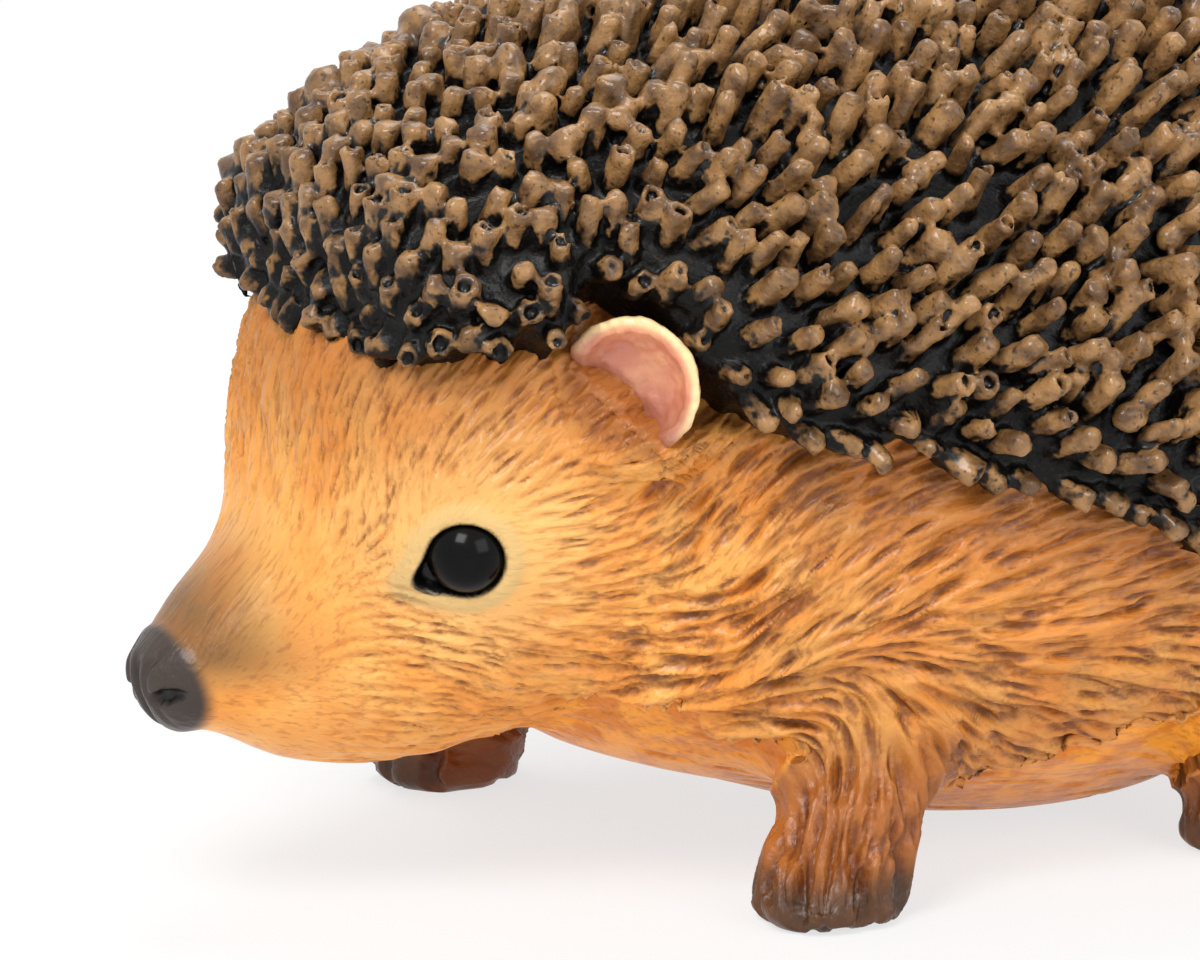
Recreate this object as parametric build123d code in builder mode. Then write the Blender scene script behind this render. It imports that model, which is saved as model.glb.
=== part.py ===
"""Hand-painted resin hedgehog figurine, standing on four feet.

The castings are a torso, a head, a coat of spines, four legs, two ears, a nose and two eyes.
They are keyed together with pegs in sockets and glued, so nothing on the figurine moves.
Frame: +Z is up, the animal faces -X, its left is -Y, and the origin lies on the ground under its middle.
Lengths are in millimetres and angles in degrees.
"""

import math
import os

from build123d import *

# Overall reach from the tip of the nose to the hindmost quill
OVERALL_LENGTH = 200.0

# Fits between the glued castings
GLUE_GAP = 0.15
CUT_OVERRUN = 1.0

# Torso casting: a barrel that is widest low down, with the belly held clear of the ground
TORSO_LENGTH = 148.0
TORSO_WIDTH = 108.0
TORSO_RISE = 67.0
TORSO_DROP = 46.0
BELLY_CLEARANCE = 2.0
# Place along the torso, then the share of its half width, rise and drop there
TORSO_SECTION_SHARES = (
    (0.00, 0.16, 0.16, 0.24),
    (0.04, 0.39, 0.40, 0.50),
    (0.16, 0.74, 0.72, 0.75),
    (0.32, 0.93, 0.92, 0.90),
    (0.50, 1.00, 1.00, 1.00),
    (0.68, 0.96, 0.96, 1.00),
    (0.84, 0.77, 0.79, 0.84),
    (0.96, 0.42, 0.45, 0.46),
    (1.00, 0.16, 0.18, 0.16),
)
# How square the torso's sections are: 0.55 is a true ellipse
TORSO_FULLNESS_SHARE = 0.60

# Head casting: an egg with a snout, bowed so that the nose points down and forward
HEAD_LENGTH = 87.0
HEAD_WIDTH = 76.0
HEAD_RISE = 42.0
HEAD_DROP = 31.0
HEAD_BOW_ANGLE = 25.0
NOSE_HEIGHT = 31.6
# Place back from the nose, then the lift of the widest line, the half width, the top and the bottom there
HEAD_SECTION_SHARES = (
    (0.000, -0.05, 0.22, 0.14, 0.30),
    (0.070, -0.08, 0.30, 0.19, 0.54),
    (0.172, -0.09, 0.42, 0.25, 0.77),
    (0.276, -0.04, 0.60, 0.44, 0.90),
    (0.350, 0.08, 0.74, 0.68, 0.96),
    (0.437, 0.18, 0.86, 0.85, 1.00),
    (0.575, 0.22, 0.95, 0.97, 1.03),
    (0.724, 0.22, 0.98, 1.00, 1.02),
    (0.862, 0.14, 0.95, 0.86, 0.93),
    (1.000, 0.08, 0.70, 0.60, 0.69),
)
# How square the head's sections are
HEAD_FULLNESS_SHARE = 0.64
HEAD_TENON_DIAMETER = 30.0
HEAD_TENON_LENGTH = 12.0

# Nose button on the end of the snout, with a groove down its middle and two nostrils
NOSE_WIDTH = 15.6
NOSE_TALL = 14.0
NOSE_DEPTH = 5.0
NOSE_GROOVE_WIDTH = 1.2
NOSE_GROOVE_DEPTH = 1.2
NOSTRIL_DIAMETER = 2.4
NOSTRIL_SPACING = 6.4
NOSTRIL_DEPTH = 2.6
NOSE_PEG_DIAMETER = 5.0
NOSE_PEG_LENGTH = 6.0
# Depth of the button in front of the snout, then its size there
NOSE_SECTION_SHARES = (
    (0.00, 1.00),
    (0.35, 0.96),
    (0.70, 0.80),
    (0.92, 0.56),
    (1.00, 0.36),
)

# Eyes: glossy beads sunk into the sides of the face
EYE_DIAMETER = 11.2
EYE_SETBACK = 39.2
EYE_RISE = 5.2
EYE_SINK = 2.4

# Ears: round cups standing at the edge of the coat, each with its root sunk in the head
EAR_DIAMETER = 19.0
EAR_WALL = 2.2
EAR_SETBACK = 52.6
EAR_HEIGHT = 76.5
EAR_HALF_SPREAD = 40.8
EAR_TURN_OUT_ANGLE = 30.0
EAR_NOD_ANGLE = 8.0

# Coat of spines: a shell over the back and brow, cut along a falling edge, with rows of quills
COAT_THICKNESS = 3.6
BROW_SETBACK = 23.0
# Place back from the brow, then the lift of the widest line, the half width and the top there
COAT_SECTION_SHARES = (
    (0.000, 0.53, 0.20, 0.58),
    (0.020, 0.50, 0.46, 0.68),
    (0.070, 0.43, 0.64, 0.80),
    (0.140, 0.35, 0.76, 0.88),
    (0.235, 0.24, 0.86, 0.94),
    (0.350, 0.12, 0.93, 0.98),
    (0.495, 0.03, 0.99, 1.00),
    (0.640, 0.00, 1.00, 0.99),
    (0.785, 0.00, 0.92, 0.91),
    (0.895, 0.00, 0.72, 0.72),
    (0.970, 0.00, 0.42, 0.42),
    (1.000, 0.00, 0.17, 0.17),
)
# How square the coat's sections are
COAT_FULLNESS_SHARE = 0.62
BROW_EDGE_HEIGHT = 81.0
EAR_EDGE_HEIGHT = 80.0
NAPE_EDGE_HEIGHT = 70.0
FLANK_EDGE_HEIGHT = 57.0
RUMP_EDGE_HEIGHT = 33.0
QUILL_LENGTH = 7.0
QUILL_ROOT = 1.4
QUILL_WIDTH = 4.4
QUILL_TIP_WIDTH = 2.6
QUILL_PITCH = 9.4
QUILL_STAGGER_SHARE = 0.15
QUILL_LEAN_ANGLE = 32.0

# Legs: a paw with a flat sole under a tapered limb that is pegged into the torso
PAW_LENGTH = 22.0
PAW_WIDTH = 20.0
LEG_HEIGHT = 33.0
LEG_REACH = 16.0
LEG_SPLAY = 8.0
LEG_PEG_DIAMETER = 9.0
LEG_PEG_LENGTH = 12.0
LEG_PEG_ROOT = 3.0
LEG_PEG_HEIGHT = 19.0
TOE_DIAMETER = 7.0
TOE_SETBACK = 3.0
TOE_RISE = 3.0
TOE_COUNT = 4
TOE_FAN_ANGLE = 108.0
FRONT_TRACK = 84.0
REAR_TRACK = 76.0
FRONT_LEFT_STEP = 18.0
FRONT_RIGHT_STEP = 33.0
REAR_LEFT_STEP = 50.0
REAR_RIGHT_STEP = 60.0
# Height up the leg, then the share of its reach to the paw, its half length and its half width there
LEG_SECTION_SHARES = (
    (0.00, 1.00, 0.86, 0.86),
    (0.08, 1.00, 0.98, 0.98),
    (0.24, 0.92, 1.00, 1.00),
    (0.48, 0.62, 1.00, 1.02),
    (0.75, 0.26, 1.14, 1.10),
    (1.00, 0.00, 1.20, 1.16),
)

# Places worked out from the driving dimensions
nose_x = -OVERALL_LENGTH / 2
coat_front_x = nose_x + BROW_SETBACK
coat_rear_x = OVERALL_LENGTH / 2 - QUILL_LENGTH
torso_rear_x = coat_rear_x - COAT_THICKNESS
torso_middle_x = torso_rear_x - TORSO_LENGTH / 2
torso_front_x = torso_rear_x - TORSO_LENGTH
ear_x = nose_x + EAR_SETBACK
waist_height = BELLY_CLEARANCE + TORSO_DROP
bow = math.radians(HEAD_BOW_ANGLE)
head_axis = Vector(math.cos(bow), 0, math.sin(bow))
head_up = Vector(-math.sin(bow), 0, math.cos(bow))
nose_tip = Vector(nose_x, 0, NOSE_HEIGHT)
SIDES = (-1, 1)


def oval(plane, half_width, rise, drop, fullness):
    """A rounded section on a plane, whose upper and lower halves have their own heights."""
    corners = [Vector(half_width, 0), Vector(0, rise), Vector(-half_width, 0), Vector(0, -drop)]
    with BuildSketch(plane) as section:
        with BuildLine():
            for start, end in zip(corners, corners[1:] + corners[:1]):
                Bezier(start, start + end * fullness, end + start * fullness, end)
        make_face()
    return section.sketch


def torso_form(grow):
    """The barrel of the torso, swollen by the given amount."""
    sections = []
    for place_share, width_share, rise_share, drop_share in TORSO_SECTION_SHARES:
        x = torso_middle_x + (place_share - 0.5) * (TORSO_LENGTH + 2 * grow)
        plane = Plane((x, 0, waist_height), x_dir=(0, 1, 0), z_dir=(1, 0, 0))
        half_width = width_share * TORSO_WIDTH / 2 + grow
        rise = rise_share * TORSO_RISE + grow
        drop = drop_share * TORSO_DROP + grow
        sections.append(oval(plane, half_width, rise, drop, TORSO_FULLNESS_SHARE))
    with BuildPart() as form:
        loft(sections)
    return form.part


def head_form(grow):
    """The egg of the head with its snout, swollen by the given amount."""
    sections = []
    for place_share, lift_share, width_share, top_share, bottom_share in HEAD_SECTION_SHARES:
        back = NOSE_DEPTH + GLUE_GAP + place_share * HEAD_LENGTH + (2 * place_share - 1) * grow
        lift = lift_share * HEAD_DROP
        plane = Plane(nose_tip + head_axis * back + head_up * lift, x_dir=(0, 1, 0), z_dir=head_axis)
        half_width = width_share * HEAD_WIDTH / 2 + grow
        rise = top_share * HEAD_RISE - lift + grow
        drop = bottom_share * HEAD_DROP + lift + grow
        sections.append(oval(plane, half_width, rise, drop, HEAD_FULLNESS_SHARE))
    with BuildPart() as form:
        loft(sections)
    return form.part


def coat_form():
    """The hood of the coat, which lies over the crown and back and narrows to the brow and the rump."""
    sections = []
    for place_share, lift_share, width_share, top_share in COAT_SECTION_SHARES:
        x = coat_front_x + place_share * (coat_rear_x - coat_front_x)
        lift = lift_share * TORSO_RISE
        plane = Plane((x, 0, waist_height + lift), x_dir=(0, 1, 0), z_dir=(1, 0, 0))
        half_width = width_share * (TORSO_WIDTH / 2 + COAT_THICKNESS)
        rise = top_share * (TORSO_RISE + COAT_THICKNESS) - lift
        drop = width_share * TORSO_DROP
        sections.append(oval(plane, half_width, rise, drop, COAT_FULLNESS_SHARE))
    with BuildPart() as form:
        loft(sections)
    return form.part


def surface_point(form, start, direction):
    """Where a line from inside a form leaves it, with the way out there."""
    line = Axis(start, direction)
    hits = [hit for face in form.faces() for hit in face.find_intersection_points(line)]
    return max(hits, key=lambda hit: (hit[0] - line.position).dot(line.direction))


# Forms that the castings share, so that each fits its neighbour with the glue gap between them
torso_bulk = torso_form(0)
torso_room = torso_form(GLUE_GAP)
head_bulk = head_form(0)
head_room = head_form(GLUE_GAP)

# The tenon on the back of the head and the peg on the back of the nose
tenon_plane = Plane((torso_front_x, 0, waist_height), z_dir=(1, 0, 0))
snout_lift = HEAD_SECTION_SHARES[0][1] * HEAD_DROP
nose_plane = Plane(nose_tip + head_axis * NOSE_DEPTH + head_up * snout_lift, x_dir=(0, 1, 0), z_dir=-head_axis)
BEHIND = (Align.CENTER, Align.CENTER, Align.MAX)
AHEAD = (Align.CENTER, Align.CENTER, Align.MIN)


def eye_place(side):
    """Centre of an eye bead, sunk below the skin of the face."""
    level = nose_tip + head_axis * EYE_SETBACK + head_up * EYE_RISE
    point, outward = surface_point(head_bulk, level, (0, side, 0))
    return point - outward * EYE_SINK


# An ear in its own frame, opening upwards: a half round cup with an even wall and a rounded rim
ear_radius = EAR_DIAMETER / 2
ear_bore = ear_radius - EAR_WALL
with BuildPart() as ear_cup:
    with BuildSketch(Plane.XZ):
        with BuildLine():
            CenterArc((0, 0), ear_radius, start_angle=270, arc_size=90)
            ThreePointArc((ear_radius, 0), (ear_radius - EAR_WALL / 2, EAR_WALL / 2), (ear_bore, 0))
            CenterArc((0, 0), ear_bore, start_angle=270, arc_size=90)
            Line((0, -ear_bore), (0, -ear_radius))
        make_face()
    revolve(axis=Axis.Z)


def ear_plane(side):
    """Plane of an ear's rim, facing the way the cup opens."""
    turn = math.radians(EAR_TURN_OUT_ANGLE)
    nod = math.radians(EAR_NOD_ANGLE)
    level = math.cos(nod)
    opening = (-math.cos(turn) * level, side * math.sin(turn) * level, -math.sin(nod))
    return Plane((ear_x, side * EAR_HALF_SPREAD, EAR_HEIGHT), x_dir=(0, 0, 1), z_dir=opening)


def leg_peg_plane(paw_x, side, track):
    """Plane on the torso's skin inside a leg, facing into the torso."""
    start = (paw_x + LEG_REACH / 2, 0, LEG_PEG_HEIGHT)
    point, outward = surface_point(torso_bulk, start, (0, side, 0))
    return Plane(point, z_dir=-outward)


def leg_casting(paw_x, side, track):
    """A leg with its paw, toes and peg, cut to sit against the torso."""
    fan = math.radians(TOE_FAN_ANGLE)
    with BuildPart() as leg:
        for height_share, reach_share, length_share, width_share in LEG_SECTION_SHARES:
            x = paw_x + (1 - reach_share) * LEG_REACH
            y = side * (track / 2 - (1 - reach_share) * LEG_SPLAY)
            with BuildSketch(Plane((x, y, height_share * LEG_HEIGHT))):
                Ellipse(length_share * PAW_LENGTH / 2, width_share * PAW_WIDTH / 2)
        loft()
        for toe in range(TOE_COUNT):
            swing = (toe / (TOE_COUNT - 1) - 0.5) * fan
            x = paw_x - (PAW_LENGTH / 2 - TOE_SETBACK) * math.cos(swing)
            y = side * track / 2 + (PAW_WIDTH - TOE_DIAMETER) / 2 * math.sin(swing) / math.sin(fan / 2)
            with Locations((x, y, TOE_RISE)):
                Sphere(TOE_DIAMETER / 2)
        split(bisect_by=Plane.XY, keep=Keep.TOP)
        add(torso_room, mode=Mode.SUBTRACT)
        with Locations(leg_peg_plane(paw_x, side, track)):
            Cylinder(LEG_PEG_DIAMETER / 2, LEG_PEG_LENGTH, align=AHEAD)
            Cylinder(LEG_PEG_DIAMETER / 2, LEG_PEG_ROOT, align=BEHIND)
    return leg.part


os.makedirs("parts", exist_ok=True)

# Each leg's place: its paw along the body, its side and the track of its pair
stances = {
    "front_left_leg": (-FRONT_LEFT_STEP, -1, FRONT_TRACK),
    "front_right_leg": (-FRONT_RIGHT_STEP, 1, FRONT_TRACK),
    "rear_left_leg": (REAR_LEFT_STEP, -1, REAR_TRACK),
    "rear_right_leg": (REAR_RIGHT_STEP, 1, REAR_TRACK),
}
for name, stance in stances.items():
    casting = leg_casting(*stance)
    casting.label = name
    export_step(casting, f"parts/{name}.step")

# Torso, with a socket for the head's tenon and one for each leg's peg
with BuildPart() as body:
    add(torso_bulk)
    with Locations(tenon_plane):
        Cylinder(HEAD_TENON_DIAMETER / 2 + GLUE_GAP, 2 * (HEAD_TENON_LENGTH + GLUE_GAP), mode=Mode.SUBTRACT)
    for stance in stances.values():
        with Locations(leg_peg_plane(*stance)):
            Cylinder(LEG_PEG_DIAMETER / 2 + GLUE_GAP, 2 * (LEG_PEG_LENGTH + GLUE_GAP), mode=Mode.SUBTRACT)
body.part.label = "body"
export_step(body.part, "parts/body.step")

# Head, hollowed at the back to sit over the front of the torso, with pockets for the ears, eyes and nose
with BuildPart() as head:
    add(head_bulk)
    add(torso_room, mode=Mode.SUBTRACT)
    for side in SIDES:
        with Locations(ear_plane(side)):
            Sphere(ear_radius + GLUE_GAP, mode=Mode.SUBTRACT)
        with Locations(eye_place(side)):
            Sphere(EYE_DIAMETER / 2 + GLUE_GAP, mode=Mode.SUBTRACT)
    with Locations(nose_plane):
        Cylinder(NOSE_PEG_DIAMETER / 2 + GLUE_GAP, NOSE_PEG_LENGTH + GLUE_GAP, align=BEHIND, mode=Mode.SUBTRACT)
    with Locations(tenon_plane):
        Cylinder(HEAD_TENON_DIAMETER / 2, 2 * HEAD_TENON_LENGTH)
head.part.label = "head"
export_step(head.part, "parts/head.step")

# Nose button, with its groove, its nostrils and the peg behind it
with BuildPart() as nose:
    for depth_share, size_share in NOSE_SECTION_SHARES:
        with BuildSketch(nose_plane.offset(depth_share * NOSE_DEPTH)):
            Ellipse(size_share * NOSE_WIDTH / 2, size_share * NOSE_TALL / 2)
    loft()
    with Locations(nose_plane.offset(NOSE_DEPTH)):
        Box(NOSE_GROOVE_WIDTH, NOSE_TALL, 2 * NOSE_GROOVE_DEPTH, mode=Mode.SUBTRACT)
        with GridLocations(NOSTRIL_SPACING, NOSTRIL_SPACING, 2, 1):
            Cylinder(NOSTRIL_DIAMETER / 2, 2 * NOSTRIL_DEPTH, mode=Mode.SUBTRACT)
    with Locations(nose_plane):
        Cylinder(NOSE_PEG_DIAMETER / 2, NOSE_PEG_LENGTH, align=BEHIND)
nose.part.label = "nose"
export_step(nose.part, "parts/nose.step")

# Eyes and ears, one of each on either side
for name, side in (("left", -1), ("right", 1)):
    with BuildPart() as eye:
        with Locations(eye_place(side)):
            Sphere(EYE_DIAMETER / 2)
    eye.part.label = f"{name}_eye"
    export_step(eye.part, f"parts/{name}_eye.step")
    with BuildPart() as ear:
        with Locations(ear_plane(side)):
            add(ear_cup.part)
    ear.part.label = f"{name}_ear"
    export_step(ear.part, f"parts/{name}_ear.step")

# The coat's shell: its hood above the falling edge, hollowed to fit over the torso and the head
coat_bulk = coat_form()
coat_top = waist_height + TORSO_RISE + HEAD_RISE
with BuildPart() as above_edge:
    with BuildSketch(Plane.XZ):
        with BuildLine():
            edge = Spline(
                (nose_x, BROW_EDGE_HEIGHT),
                (ear_x - EAR_DIAMETER / 2, EAR_EDGE_HEIGHT),
                (ear_x + EAR_DIAMETER, NAPE_EDGE_HEIGHT),
                (torso_middle_x, FLANK_EDGE_HEIGHT),
                (coat_rear_x + CUT_OVERRUN, RUMP_EDGE_HEIGHT),
            )
            Polyline(edge @ 1, (coat_rear_x + CUT_OVERRUN, coat_top), (nose_x, coat_top), edge @ 0)
        make_face()
    extrude(amount=TORSO_WIDTH, both=True)
with BuildPart() as coat_shell:
    add(coat_bulk)
    add(above_edge.part, mode=Mode.INTERSECT)
    add(torso_room, mode=Mode.SUBTRACT)
    add(head_room, mode=Mode.SUBTRACT)
    for side in SIDES:
        with Locations(ear_plane(side)):
            Sphere(ear_radius + GLUE_GAP, mode=Mode.SUBTRACT)

# One quill: a square spike, blunt at its tip, with a root that sinks into the shell
with BuildPart() as quill:
    with BuildSketch(Plane.XY.offset(-QUILL_ROOT)):
        Rectangle(QUILL_WIDTH, QUILL_WIDTH)
    with BuildSketch(Plane.XY.offset(QUILL_LENGTH)):
        Rectangle(QUILL_TIP_WIDTH, QUILL_TIP_WIDTH)
    loft(ruled=True)


def quill_stands_clear(point):
    """Whether a quill's root lies on open shell, away from its lower edge and the ears."""
    if not above_edge.part.is_inside((point.X, 0, point.Z - QUILL_WIDTH)):
        return False
    ear = Vector(ear_x, -EAR_HALF_SPREAD, EAR_HEIGHT)
    return (ear - point).length > EAR_DIAMETER / 2 + QUILL_WIDTH


def quill_planes():
    """Planes for staggered rows of quills over the hood's left half, all leaning to the rear."""
    planes = []
    lean = math.tan(math.radians(QUILL_LEAN_ANGLE))
    hood = coat_bulk.faces().filter_by(GeomType.BSPLINE)[0]
    ridge = [hood.position_at(0.5, step / 16) for step in range(17)]
    rows = round(sum((b - a).length for a, b in zip(ridge, ridge[1:])) / QUILL_PITCH)
    for row in range(rows):
        along = (row + 0.5) / rows
        hoop = [hood.position_at(0.5 + step / 16, along) for step in range(9)]
        count = max(1, round(sum((b - a).length for a, b in zip(hoop, hoop[1:])) / QUILL_PITCH))
        shift = 0.5 + QUILL_STAGGER_SHARE * (-1) ** row
        for place in range(count):
            around = 0.5 + (place + shift) / (2 * count)
            point = hood.position_at(around, along)
            if quill_stands_clear(point):
                planes.append(Plane(point, z_dir=hood.normal_at(around, along) + Vector(lean, 0, 0)))
    return planes


# Coat of spines: a half shell with its quills, mirrored, and the hindmost quill at the end of the reach
with BuildPart() as half_coat:
    add(coat_shell.part)
    split(bisect_by=Plane.XZ, keep=Keep.TOP)
    with Locations(*quill_planes()):
        add(quill.part)
with BuildPart() as spine_coat:
    add(half_coat.part)
    mirror(about=Plane.XZ)
    with Locations(Plane((coat_rear_x, 0, waist_height), z_dir=(1, 0, 0))):
        add(quill.part)
spine_coat.part.label = "spine_coat"
export_step(spine_coat.part, "parts/spine_coat.step")
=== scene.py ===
"""A hedgehog figurine of cast resin, painted by hand and varnished, on a plain pale floor."""
import math

import bmesh
import bpy
import numpy as np
from mathutils import Matrix, Vector, noise
from mathutils.bvhtree import BVHTree
from mathutils.kdtree import KDTree


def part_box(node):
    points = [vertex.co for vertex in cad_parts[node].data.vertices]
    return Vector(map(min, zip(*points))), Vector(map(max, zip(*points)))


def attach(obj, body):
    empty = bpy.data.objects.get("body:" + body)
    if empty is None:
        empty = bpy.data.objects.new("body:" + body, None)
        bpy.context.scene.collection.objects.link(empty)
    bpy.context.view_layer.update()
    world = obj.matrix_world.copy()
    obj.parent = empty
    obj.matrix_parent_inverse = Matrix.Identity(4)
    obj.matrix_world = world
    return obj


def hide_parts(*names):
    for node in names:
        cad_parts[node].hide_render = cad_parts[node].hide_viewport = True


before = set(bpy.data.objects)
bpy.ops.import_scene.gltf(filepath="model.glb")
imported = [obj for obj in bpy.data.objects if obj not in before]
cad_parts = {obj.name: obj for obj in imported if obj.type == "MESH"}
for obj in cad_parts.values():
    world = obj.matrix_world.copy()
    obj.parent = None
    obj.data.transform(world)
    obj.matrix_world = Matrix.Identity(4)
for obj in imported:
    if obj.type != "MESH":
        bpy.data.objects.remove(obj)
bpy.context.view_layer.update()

# Torso, head and legs: poured resin, cast apart, keyed together and filled so that no seam shows.
# The fur is cut in the master with a loop tool, so each stroke is a real groove in the cast skin.
MM = 0.001
SIDES = (-1, 1)
FUR_NODES = ["body", "head", "front_left_leg", "front_right_leg", "rear_left_leg", "rear_right_leg", "nose"]
FIRST_LEG, LAST_LEG = 2, 5
EYE_NODES = ["left_eye", "right_eye"]
EAR_CENTRE = np.array([-47.4, 40.8, 76.5])
ROUGH_GRAIN = 1.72 * MM
EVEN_ROUNDS, EVEN_IN, EVEN_OUT = 8, 0.5, -0.52
SEAM_BAND, SEAM_ROUNDS = (11, 2), 90
SEAM_ABOVE_SOLE = (5, 14)
EYE_FILL = (5, 1)
EAR_FILL = (12, 10.4)
NOSE_SEAM, NOSE_ROUNDS = (4, 1), 12
COAT_EDGE = [
    (-101, 83), (-77, 83), (-68, 83), (-57, 84), (-49, 86), (-41, 81), (-34, 75.5), (-28, 71), (-20, 68.5),
    (-6, 65.5), (4, 60.5), (12, 58), (60, 43), (95, 33),
]
HIDDEN_DEPTH = 5.0
FINE_CUTS, FINE_ROUNDS = 3, 14
LEG_BLEND = 12


def easy_curve(x, knots):
    """Height at x of a smooth line through the knots, as a bent lath would lie."""
    xs, ys = np.array(knots, float).T
    slopes = np.gradient(ys, xs)
    i = np.clip(np.searchsorted(xs, x) - 1, 0, len(xs) - 2)
    span = xs[i + 1] - xs[i]
    t = np.clip((x - xs[i]) / span, 0, 1)
    rise = t * t * (3 - 2 * t)
    ease = t * (1 - t) * span
    return ys[i] + rise * (ys[i + 1] - ys[i]) + ease * ((1 - t) * slopes[i] - t * slopes[i + 1])


def ramp(value, low, high):
    """Rises smoothly from 0 at low to 1 at high, or falls where high is the lower."""
    t = np.clip((value - low) / (high - low), 0, 1)
    return t * t * (3 - 2 * t)


def on_side(place, side):
    """A place or a way on the right side of the animal, taken to the side that is asked for."""
    return place * np.array([1, side, 1])


def joined_copy(name, nodes):
    """A new object from copies of CAD nodes, with their loose triangles joined."""
    shell = bmesh.new()
    for node in nodes:
        shell.from_mesh(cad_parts[node].data)
    bmesh.ops.remove_doubles(shell, verts=shell.verts, dist=0.001 * MM)
    mesh = bpy.data.meshes.new(name)
    shell.to_mesh(mesh)
    shell.free()
    mesh.materials.clear()
    piece = bpy.data.objects.new(name, mesh)
    bpy.context.scene.collection.objects.link(piece)
    return piece


def recast(piece, grain):
    """Closes a piece into one even skin of quads of the given size."""
    skin = piece.modifiers.new("skin", "REMESH")
    skin.mode = "VOXEL"
    skin.voxel_size = grain
    bpy.context.view_layer.update()
    evaluated = piece.evaluated_get(bpy.context.evaluated_depsgraph_get())
    mesh = bpy.data.meshes.new_from_object(evaluated)
    piece.modifiers.clear()
    piece.data = mesh


def points_of(mesh):
    """The mesh's points, in millimetres."""
    flat = np.empty(len(mesh.vertices) * 3)
    mesh.vertices.foreach_get("co", flat)
    return flat.reshape(-1, 3) / MM


def set_points(mesh, points):
    """Moves the mesh's points, given in millimetres."""
    mesh.vertices.foreach_set("co", (points * MM).ravel())
    mesh.update()


def pairs_of(mesh):
    """The two ends of each edge."""
    flat = np.empty(len(mesh.edges) * 2, int)
    mesh.edges.foreach_get("vertices", flat)
    return flat.reshape(-1, 2)


def normals_of(mesh):
    """The way out of the mesh at each point."""
    flat = np.empty(len(mesh.vertices) * 3)
    mesh.vertex_normals.foreach_get("vector", flat)
    return flat.reshape(-1, 3)


def soften(points, pairs, weight, rounds):
    """Draws each point towards the middle of its neighbours, by its own weight."""
    ends = np.concatenate([pairs[:, 0], pairs[:, 1]])
    mates = np.concatenate([pairs[:, 1], pairs[:, 0]])
    count = np.bincount(ends, minlength=len(points))
    for _ in range(rounds):
        middle = [np.bincount(ends, column[mates], len(points)) / count for column in points.T]
        points = points + np.reshape(weight, (-1, 1)) * (np.stack(middle, 1) - points)
    return points


def keep_values(mesh, name, values):
    """Stores one number for each point, for the paint to read."""
    mesh.attributes.new(name, "FLOAT", "POINT").data.foreach_set("value", np.asarray(values, np.float32))


casting = joined_copy("casting", FUR_NODES + EYE_NODES)
recast(casting, ROUGH_GRAIN)
rough = points_of(casting.data)
depsgraph = bpy.context.evaluated_depsgraph_get()
reach = {}
for node in FUR_NODES + EYE_NODES:
    tree = BVHTree.FromObject(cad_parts[node], depsgraph)
    reach[node] = np.array([tree.find_nearest(Vector(p) * MM)[3] for p in rough]) / MM
joints = [np.maximum(reach["body"], reach[node]) for node in FUR_NODES[1:LAST_LEG + 1]]
seam = np.max([ramp(joint, *SEAM_BAND) for joint in joints], axis=0) * ramp(rough[:, 2], *SEAM_ABOVE_SOLE)
seam = np.maximum(seam, ramp(np.min([reach[node] for node in EYE_NODES], axis=0), *EYE_FILL))
for side in SIDES:
    from_ear = np.linalg.norm(rough - on_side(EAR_CENTRE, side), axis=1)
    seam = np.maximum(seam, ramp(from_ear, *EAR_FILL))
rough_pairs = pairs_of(casting.data)
for _ in range(EVEN_ROUNDS):
    rough = soften(rough, rough_pairs, EVEN_IN, 1)
    rough = soften(rough, rough_pairs, EVEN_OUT, 1)
rough = soften(rough, rough_pairs, 0.5 * seam, SEAM_ROUNDS)
nose_seam = ramp(np.maximum(reach["head"], reach["nose"]), *NOSE_SEAM)
rough = soften(rough, rough_pairs, 0.3 * nose_seam, NOSE_ROUNDS)
rough[:, 2] = np.maximum(rough[:, 2], 0)
set_points(casting.data, rough)

sculpt = bmesh.new()
sculpt.from_mesh(casting.data)
owner = np.argmin([reach[node] for node in FUR_NODES], axis=0)
for face in sculpt.faces:
    face.material_index = int(np.bincount(owner[[v.index for v in face.verts]]).argmax())
edge_over = easy_curve(rough[:, 0], COAT_EDGE) + HIDDEN_DEPTH
shown = {v.index for v in sculpt.verts if rough[v.index, 2] < edge_over[v.index]}
fine_edges = [e for e in sculpt.edges if any(v.index in shown for f in e.link_faces for v in f.verts)]
bmesh.ops.subdivide_edges(sculpt, edges=fine_edges, cuts=FINE_CUTS, use_grid_fill=True)
sculpt.to_mesh(casting.data)
sculpt.free()
skin_pairs = pairs_of(casting.data)
skin = soften(points_of(casting.data), skin_pairs, 0.5, FINE_ROUNDS)
set_points(casting.data, skin)


def face_table(mesh):
    """For each face corner its point, and for each face its number of corners and its owner."""
    corners = np.empty(len(mesh.loops), int)
    mesh.loops.foreach_get("vertex_index", corners)
    counts = np.empty(len(mesh.polygons), int)
    mesh.polygons.foreach_get("loop_total", counts)
    owners = np.empty(len(mesh.polygons), int)
    mesh.polygons.foreach_get("material_index", owners)
    return corners, counts, owners


corners, counts, owners = face_table(casting.data)
leg_share = np.zeros((len(skin), 1))
leg_share[corners[np.repeat((owners >= FIRST_LEG) & (owners <= LAST_LEG), counts)]] = 1
leg_share = soften(leg_share, skin_pairs, 0.8, LEG_BLEND)[:, 0]

# Lids: a smooth ring of the same resin round each eye, drawn out to a corner towards the nose.
# They are modelled in the master before the fur, and the eye beads are pressed into them.
LID_REACH, LID_DEPTH = 12.5, 14.0
LID_HOLD = (12.0, 6.0)
LID_FLOOR, LID_LIFT, LID_SLOPE = 0.2, 3.0, 0.7
LID_EDGE = (4.5, 5.3)
LID_FALL = (6.2, 9.0)
LID_CORNER = np.array([-0.82, 0, -0.5])
CORNER_PULL, CORNER_POINT = 0.34, 10

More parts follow.
